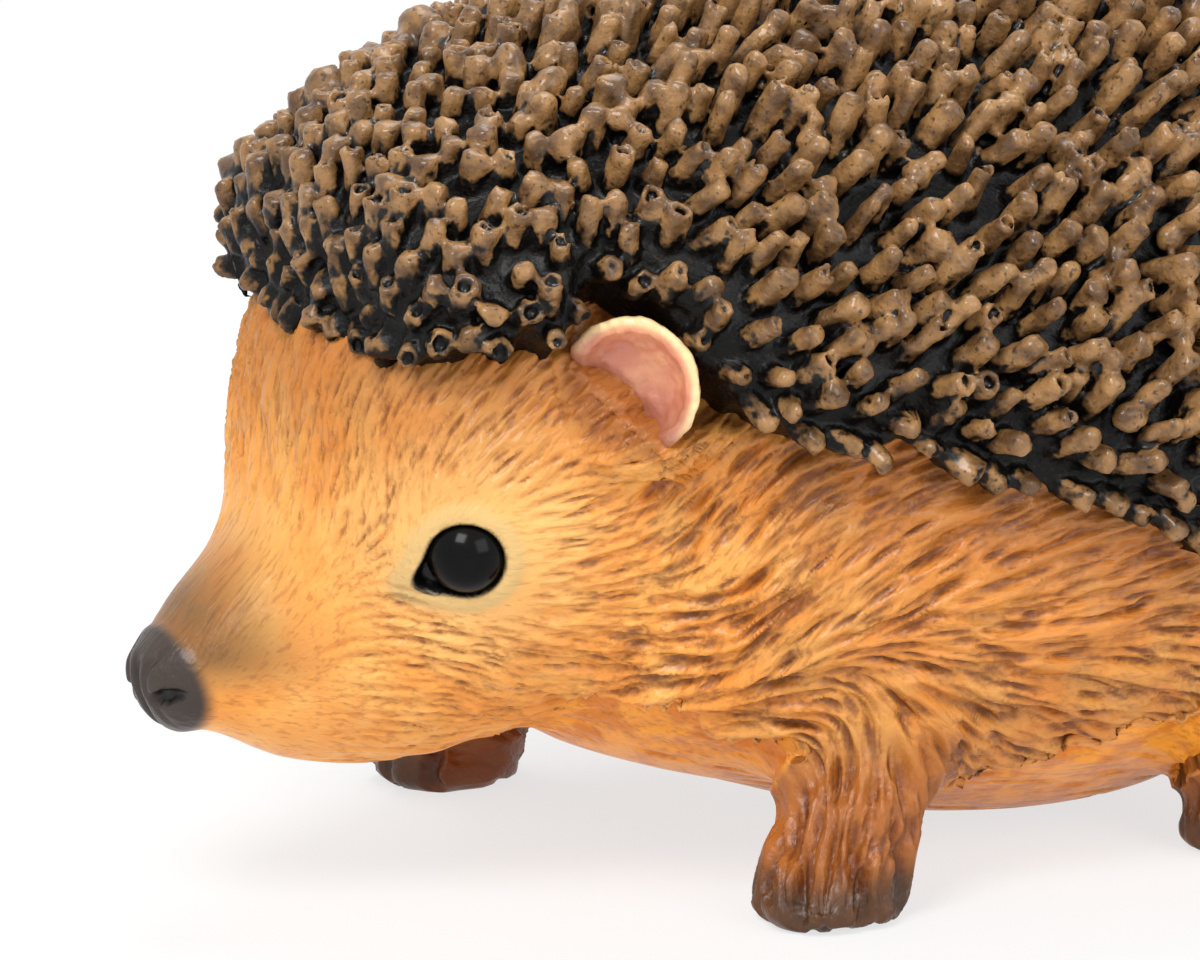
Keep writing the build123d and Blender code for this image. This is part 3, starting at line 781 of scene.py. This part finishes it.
# Coat of spines: a hood of cast resin, glued over the back and brow, with its edge tucked under.
# It is painted black, dry brushed with tan on the quills and varnished. The hoops give a place along the
# hood, the height of its widest line there, its half width and its top.
COAT_HOOPS = [
    (-77, 83.5, 11.5, 89.0), (-73.6, 81.5, 26.5, 96.0), (-65.1, 76.8, 36.9, 104.5),
    (-53.2, 71.5, 43.8, 110.1), (-37.1, 64.1, 49.5, 114.4), (-17.5, 56.0, 53.6, 117.2),
    (7.2, 50.0, 57.0, 118.6), (31.8, 48.0, 57.6, 117.9), (56.5, 48.0, 53.0, 112.2),
    (75.2, 48.0, 41.5, 98.8), (87.9, 48.0, 24.2, 77.7), (93.0, 48.0, 9.8, 60.0),
]
HOOP_FULLNESS = 0.62
HOOD_DROP = 46.0
HALF_WIDTH = 57.6
HIDE_COLUMNS = 120
HIDE_ROWS = 64
HIDE_THICKNESS = 4.0
EDGE_ROLL, EDGE_ROLL_BAND = 2.5, (7, 0)
EDGE_WANDER, EDGE_PITCH = 3.0, 0.3
EAR_NOTCH, EAR_NOTCH_PLACE, EAR_NOTCH_BAND = 5.5, -47, (11, 3)


def hood_half(place):
    """Points down the left half of the hood at a place along it, from the ridge to the coat's edge."""
    hoops = np.array(COAT_HOOPS)
    waist, width, top = (easy_curve(np.array([place]), hoops[:, [0, column]])[0] for column in (1, 2, 3))
    t = np.linspace(0, 1, 41)
    flat = (1 - t)**3 + 3 * (1 - t)**2 * t + 3 * (1 - t) * t**2 * HOOP_FULLNESS
    rise = 3 * (1 - t)**2 * t * HOOP_FULLNESS + 3 * (1 - t) * t**2 + t**3
    upper = np.stack([flat * width, waist + rise * (top - waist)], 1)[::-1]
    lower = np.stack([flat * width, waist - rise * HOOD_DROP * width / HALF_WIDTH], 1)[1:]
    half = np.concatenate([upper, lower])
    edge = easy_curve(np.array([place]), COAT_EDGE)[0]
    edge += EAR_NOTCH * float(ramp(abs(place - EAR_NOTCH_PLACE), *EAR_NOTCH_BAND))
    edge += EDGE_WANDER * noise.noise(Vector((place * EDGE_PITCH, 2.5, 0)))
    length = np.concatenate([[0], np.cumsum(np.linalg.norm(np.diff(half, axis=0), axis=1))])
    end = np.interp(-edge, -half[:, 1], length)
    run = np.linspace(0, end, HIDE_ROWS // 2 + 1)
    out = np.interp(run, length, half[:, 0]) - EDGE_ROLL * ramp(end - run, *EDGE_ROLL_BAND)
    return np.stack([np.maximum(out, 0), np.interp(run, length, half[:, 1])], 1)


HOOD_FRONT = -75.0
HOOD_REACH = 168.0
BROW_LINE = [(0, -76.6), (5.5, -76.1), (10.7, -75.2), (15.9, -73.8), (20.4, -71.9), (25, -68.3)]
BROW_HEIGHT = 81.0
BROW_STEPS = 4
RUMP_END = 94.5
RUMP_STEPS = 4
TUCK = 9.0
TUCK_FRONT, TUCK_REAR, TUCK_HEIGHT = -50, 60, 55
EAR_CLEAR = 12.5
last = HIDE_COLUMNS - BROW_STEPS - RUMP_STEPS
hide = bmesh.new()
bmesh.ops.create_grid(hide, x_segments=HIDE_COLUMNS, y_segments=HIDE_ROWS, size=1.0)
slices = {}
for vert in hide.verts:
    step = round((vert.co.x + 1) / 2 * HIDE_COLUMNS) - BROW_STEPS
    row = round(vert.co.y * HIDE_ROWS / 2)
    run = min(max(step, 0), last) / last
    if run not in slices:
        place = HOOD_FRONT + HOOD_REACH * (0.5 - 0.5 * math.cos(math.pi * run))
        slices[run] = (place, hood_half(place))
    place, half = slices[run]
    out, up = half[abs(row)]
    hood_spot = Vector((place, math.copysign(out, row), up))
    brow_spot = Vector((easy_curve(np.array([out]), BROW_LINE)[0], math.copysign(out, row), BROW_HEIGHT))
    rump_spot = Vector((RUMP_END, 0, up))
    spot = hood_spot.lerp(brow_spot, max(-step, 0) / BROW_STEPS)
    vert.co = spot.lerp(rump_spot, max(step - last, 0) / RUMP_STEPS) * MM
bmesh.ops.recalc_face_normals(hide, faces=hide.faces)
top_face = max(hide.faces, key=lambda f: f.calc_center_median().z)
if top_face.normal.z < 0:
    bmesh.ops.reverse_faces(hide, faces=hide.faces)
hide_mesh = bpy.data.meshes.new("coat")
hide.to_mesh(hide_mesh)
hide_tree = BVHTree.FromBMesh(hide)
hide_points = points_of(hide_mesh)
hide_mesh.calc_loop_triangles()
tris = np.array([t.vertices for t in hide_mesh.loop_triangles])
corner_a, corner_b, corner_c = hide_points[tris[:, 0]], hide_points[tris[:, 1]], hide_points[tris[:, 2]]
facing = np.cross(corner_b - corner_a, corner_c - corner_a)
areas = np.linalg.norm(facing, axis=1)
facing /= np.maximum(areas, 1e-9)[:, None]
rim = [e for e in hide.edges if e.is_boundary]
rim_roots = []
for edge in rim:
    middle = (edge.verts[0].co + edge.verts[1].co) / 2
    face = edge.link_faces[0]
    off_edge = (middle - face.calc_center_median()).normalized()
    spot = np.array(middle) / MM
    if np.linalg.norm(spot * [1, math.copysign(1, spot[1]), 1] - EAR_CENTRE) > EAR_CLEAR:
        rim_roots.append((spot, np.array(face.normal + 0.5 * off_edge)))
for grown in bmesh.ops.extrude_edge_only(hide, edges=rim)["geom"]:
    if isinstance(grown, bmesh.types.BMVert):
        heart = Vector((min(max(grown.co.x, TUCK_FRONT * MM), TUCK_REAR * MM), 0, TUCK_HEIGHT * MM))
        grown.co += (heart - grown.co).normalized() * TUCK * MM
hide.to_mesh(hide_mesh)
hide.free()

# Quills: short blunt stubs, cast with the hood and scattered as close as they will stand.
# Some are burst at the tip by bubbles in the resin, and lumps of resin fill gaps between others.
# Those along the edge are placed first, pointing off it.
QUILL_SPACING = 3.7
QUILL_TRIES = 30000
NEAR_CELLS = np.array(list(np.ndindex(3, 3, 3))) - 1
QUILL_SHAPES, QUILL_SIDES = 15, 12
QUILL_LENGTH = (6.8, 9.6)
QUILL_HALF_WIDTH = (1.4, 2.0)
QUILL_ROOT = 1.6
QUILL_SCATTER = 0.17
LUMP_COUNT = 120
COAT_GRAIN = 0.5 * MM
COAT_KEEP = 0.45
candidates = [rim_roots[i] for i in draws.permutation(len(rim_roots))]
for pick in draws.choice(len(tris), QUILL_TRIES, p=areas / areas.sum()):
    a, b = draws.random(2)
    if a + b > 1:
        a, b = 1 - a, 1 - b
    place = corner_a[pick] + a * (corner_b[pick] - corner_a[pick]) + b * (corner_c[pick] - corner_a[pick])
    candidates.append((place, facing[pick]))
quill_roots, taken = [], {}
for place, way in candidates:
    cell = tuple(np.floor(place / QUILL_SPACING).astype(int))
    around = [tuple(near) for near in NEAR_CELLS + cell]
    if any(np.linalg.norm(place - other) < QUILL_SPACING for key in around for other in taken.get(key, [])):
        continue
    taken.setdefault(cell, []).append(place)
    quill_roots.append((place, way))

noise.seed_set(SEED)
shapes = []
for shape in range(QUILL_SHAPES):
    quill = bmesh.new()
    bmesh.ops.create_cone(quill, cap_ends=True, segments=QUILL_SIDES, radius1=1.08, radius2=0.9, depth=1.0)
    bmesh.ops.translate(quill, verts=quill.verts, vec=(0, 0, 0.5))
    sides = [e for e in quill.edges if abs(e.verts[0].co.z - e.verts[1].co.z) > 0.5]
    bmesh.ops.subdivide_edges(quill, edges=sides, cuts=3)
    tip = max(quill.faces, key=lambda f: f.calc_center_median().z)
    burst = shape % 5 < 2
    bmesh.ops.inset_region(quill, faces=[tip], thickness=0.16, depth=0.04)
    bmesh.ops.inset_region(quill, faces=[tip], thickness=0.2, depth=0.01 if burst else 0.05)
    bmesh.ops.inset_region(quill, faces=[tip], thickness=0.08, depth=-0.26 if burst else 0.01)
    for vert in quill.verts:
        wobble = noise.noise_vector(vert.co * 1.5 + Vector((shape * 7.1, 0, 0)))
        vert.co += Vector((wobble.x, wobble.y, 0.1 * wobble.z)) * 0.4 * (0.2 + vert.co.z)
    bmesh.ops.recalc_face_normals(quill, faces=quill.faces)
    quill.verts.ensure_lookup_table()
    shapes.append((np.array([v.co for v in quill.verts]), [[v.index for v in f.verts] for f in quill.faces]))
    quill.free()

coat_verts, coat_faces, total = [], [], 0
for place, way in quill_roots:
    edge = place[2] - easy_curve(np.array([place[0]]), COAT_EDGE)[0]
    crown = float(ramp(place[0], -28, -60))
    inner = float(ramp(edge, 0, 14))
    sweep = Vector((0.62 - 0.45 * crown, 0, (0.5 + 0.4 * crown) * (0.25 + 0.75 * inner)))
    lean = Vector(way) * (1 - 0.3 * crown) + sweep
    lean += Vector(draws.normal(0, QUILL_SCATTER, 3))
    lean.x = max(lean.x, -0.2)
    turn = lean.to_track_quat("Z", "X").to_matrix() @ Matrix.Rotation(draws.uniform(0, 6.28), 3, "Z")
    long = draws.uniform(*QUILL_LENGTH) * (0.7 + 0.3 * inner) * (1 - 0.28 * crown)
    thick = draws.uniform(*QUILL_HALF_WIDTH) * (1 + 0.08 * crown)
    base, faces = shapes[draws.integers(len(shapes))]
    size = np.array([thick, thick * draws.uniform(0.85, 1.15), long])
    coat_verts.append((base * size - [0, 0, QUILL_ROOT]) @ np.array(turn).T + place)
    coat_faces.extend([[total + i for i in f] for f in faces])
    total += len(base)

quill_mesh = bpy.data.meshes.new("quills")
quill_mesh.from_pydata((np.concatenate(coat_verts) * MM).tolist(), [], coat_faces)
hide_piece = bpy.data.objects.new("coat", hide_mesh)
bpy.context.scene.collection.objects.link(hide_piece)
wall = hide_piece.modifiers.new("wall", "SOLIDIFY")
wall.thickness = HIDE_THICKNESS * MM
wall.offset = -1.0
bpy.context.view_layer.update()
walled = bpy.data.meshes.new_from_object(hide_piece.evaluated_get(bpy.context.evaluated_depsgraph_get()))
hide_piece.modifiers.clear()
lumps = bmesh.new()
for _ in range(LUMP_COUNT):
    place, way = quill_roots[draws.integers(len(quill_roots))]
    crown = float(ramp(place[0], -20, -55))
    if place[2] < easy_curve(np.array([place[0]]), COAT_EDGE)[0] + 10 or place[0] < -68:
        continue
    radius = draws.uniform(1.6, 2.4 + crown) * MM
    ball = bmesh.ops.create_icosphere(lumps, subdivisions=2, radius=radius)["verts"]
    bmesh.ops.scale(lumps, vec=draws.uniform(0.75, 1.3, 3), verts=ball)
    bmesh.ops.translate(lumps, vec=Vector(place + way * draws.uniform(1.5, 4.0)) * MM, verts=ball)
lump_mesh = bpy.data.meshes.new("lumps")
lumps.to_mesh(lump_mesh)
lumps.free()
joined = bmesh.new()
for mesh in (walled, quill_mesh, lump_mesh):
    joined.from_mesh(mesh)
joined.to_mesh(hide_mesh)
joined.free()
recast(hide_piece, COAT_GRAIN)
thin = hide_piece.modifiers.new("thin", "DECIMATE")
thin.ratio = COAT_KEEP
bpy.context.view_layer.update()
coat_mesh = bpy.data.meshes.new_from_object(hide_piece.evaluated_get(bpy.context.evaluated_depsgraph_get()))
bpy.data.objects.remove(hide_piece)

# Thinning leaves a few flakes of two faces back to back, which are taken out.
flakes = bmesh.new()
flakes.from_mesh(coat_mesh)
twins = {}
for face in flakes.faces:
    twins.setdefault(frozenset(v.index for v in face.verts), []).append(face)
bmesh.ops.delete(flakes, geom=[f for same in twins.values() if len(same) > 1 for f in same], context="FACES")
flakes.to_mesh(coat_mesh)
flakes.free()

coat_points = points_of(coat_mesh)
coat_pairs = pairs_of(coat_mesh)
coat_points = soften(coat_points, coat_pairs, 0.4, 1)
set_points(coat_mesh, coat_points)
coat_out = normals_of(coat_mesh)
lump = np.array([noise.noise(Vector(p) * 0.55) + 0.6 * noise.noise(Vector(p) * 1.3) for p in coat_points])
coat_points = coat_points + coat_out * (0.22 * lump)[:, None]
set_points(coat_mesh, coat_points)
lift = []
for point in coat_points:
    spot, way, _, _ = hide_tree.find_nearest(Vector(point) * MM)
    lift.append((Vector(point) - spot / MM).dot(way))
lift = np.array(lift)
hollow = ((soften(coat_points, coat_pairs, 1.0, 3) - coat_points) * coat_out).sum(axis=1)
edge = coat_points[:, 2] - easy_curve(coat_points[:, 0], COAT_EDGE)
# Faces turned up and forward get a little more tan: partly the dry brush coming from above, partly painted
# light on the lit side.
upper = coat_out @ np.array([0.35, 0, 0.8])
keep_values(coat_mesh, "lift", (lift / 6 + 0.15 * upper) * (0.75 + 0.25 * ramp(edge, 1, 10)))
keep_values(coat_mesh, "hollow", np.clip(hollow, -0.12, 1))


def quill_colour(paint):
    """Black in the gaps and the burst tips, tan where the dry brush caught the ends and sides, and more tan
    on faces turned up and forward, partly as painted light.
    """
    blotch = paint.mottle(2.2)
    # The stored lift includes painted light that lightens faces turned up and forward.
    brushed = paint.band(paint.value("lift") - 2.0 * paint.value("hollow") + 1.1 * (blotch - 0.5), 0.26, 0.60)
    tan = paint.mix(paint.band(paint.mottle(3.5), 0.32, 0.68), tint("5C4026"), tint("A2794B"))
    colour = paint.mix(brushed, tint("090807"), tan)
    return paint.mix(paint.band(paint.mottle(0.9), 0.58, 0.70) * 0.75, colour, tint("241C15"))


def quill_gloss(paint):
    return 0.25 + 0.25 * paint.mottle(1.5)


def quill_varnish(paint):
    """Thick on the ends, thin in the gaps."""
    return 0.06 + 0.5 * paint.band(paint.value("lift"), 0.15, 0.5)


def quill_relief(paint):
    return paint.relief(paint.mottle(0.8, 4.0), 0.3)


quill_paint = varnished("quill_paint", quill_colour, quill_gloss, quill_relief, quill_varnish, 0.15)
SLAB_NAMES = ["coat_brow", "coat_crown", "coat_back", "coat_rump"]
UNDERSIDE, UNDERSIDE_INSET, UNDERSIDE_FRONT = 2.2, 9, -64
corners, counts, _ = face_table(coat_mesh)
first_corner = corners[np.cumsum(counts) - counts]
ranks = np.argsort(np.argsort(coat_points[first_corner, 0], kind="stable"), kind="stable")
slabs = ranks * len(SLAB_NAMES) // len(ranks)
buried = (lift < -UNDERSIDE) & (edge > UNDERSIDE_INSET) & (coat_points[:, 0] > UNDERSIDE_FRONT)
slabs[buried[first_corner]] = len(SLAB_NAMES)
coat_mesh.polygons.foreach_set("material_index", slabs.astype(np.int32))
for index, name in enumerate(SLAB_NAMES):
    show(name, owned_part(coat_mesh, index), quill_paint, "spine_coat")

# Floor, light and camera: a white card under three soft boxes, seen from the left and a little above.
# The card and the room glow for rays from the camera and reflections, so both stay pale behind the figurine.
AIM = Vector((-0.0421, -0.0213, 0.0586))
AZIMUTH = math.radians(-27)
ELEVATION = math.radians(15)
DISTANCE = 2.0
LENS, SENSOR = 450, 36
FLOOR_HALF_SIZE = 6.0
FLOOR_GREY = 0.86
FLOOR_GLOW = 0.72
ROOM_LIGHT = 0.42
level = math.cos(ELEVATION)
back = Vector((math.sin(AZIMUTH) * level, -math.cos(AZIMUTH) * level, math.sin(ELEVATION)))
right = Vector((math.cos(AZIMUTH), math.sin(AZIMUTH), 0))
upward = back.cross(right)

ground = bmesh.new()
bmesh.ops.create_grid(ground, x_segments=1, y_segments=1, size=FLOOR_HALF_SIZE)
floor_mesh = bpy.data.meshes.new("floor")
ground.to_mesh(floor_mesh)
ground.free()
floor = bpy.data.objects.new("floor", floor_mesh)
bpy.context.scene.collection.objects.link(floor)
floor_white = bpy.data.materials.new("floor_white")
floor_white.use_nodes = True
paint = Paint(floor_white.node_tree)


def seen_directly(paint):
    """1 for rays from the camera and for those that mirror or glass pass on."""
    seen = 0.0
    for ray in ("Is Camera Ray", "Is Glossy Ray", "Is Transmission Ray"):
        seen = paint.maths("MAXIMUM", paint.node("ShaderNodeLightPath", outlet=ray), seen)
    return seen


card = paint.node("ShaderNodeBsdfDiffuse", None, {"Color": (FLOOR_GREY, FLOOR_GREY, FLOOR_GREY, 1)})
glow = paint.node("ShaderNodeEmission", None, {"Color": (1, 1, 1, 1), "Strength": 1.0})
mixed = paint.node("ShaderNodeMixShader", None, {0: seen_directly(paint) * FLOOR_GLOW, 1: card, 2: glow})
surface = floor_white.node_tree.nodes["Material Output"].inputs["Surface"]
floor_white.node_tree.links.new(mixed.socket, surface)
floor_mesh.materials.append(floor_white)

world = bpy.data.worlds.new("studio")
bpy.context.scene.world = world
world.use_nodes = True
paint = Paint(world.node_tree)
backdrop = world.node_tree.nodes["Background"]
backdrop.inputs["Color"].default_value = (1, 1, 1, 1)
strength = ROOM_LIGHT + (1 - ROOM_LIGHT) * seen_directly(paint)
world.node_tree.links.new(strength.socket, backdrop.inputs["Strength"])

for name, ahead, aside, above, size, power in (
    ("key", 1.1, -0.4, 0.85, 0.6, 15.0),
    ("fill", 1.0, 0.9, 0.35, 0.8, 6.0),
    ("top", -0.2, 0.1, 1.2, 0.7, 7.0),
):
    lamp = bpy.data.lights.new(name, "AREA")
    lamp.size = size
    lamp.energy = power
    lamp_object = bpy.data.objects.new(name, lamp)
    lamp_object.location = AIM + back * ahead + right * aside + upward * above
    lamp_object.rotation_euler = (AIM - lamp_object.location).to_track_quat("-Z", "Y").to_euler()
    bpy.context.scene.collection.objects.link(lamp_object)

camera = bpy.data.cameras.new("camera")
camera.lens = LENS
camera.sensor_width = SENSOR
camera.sensor_fit = "HORIZONTAL"
camera.clip_end = 50
camera_object = bpy.data.objects.new("camera", camera)
camera_object.location = AIM + back * DISTANCE
camera_object.rotation_euler = (-back).to_track_quat("-Z", "Y").to_euler()
bpy.context.scene.collection.objects.link(camera_object)
bpy.context.scene.camera = camera_object
bpy.context.scene.view_settings.view_transform = "Standard"
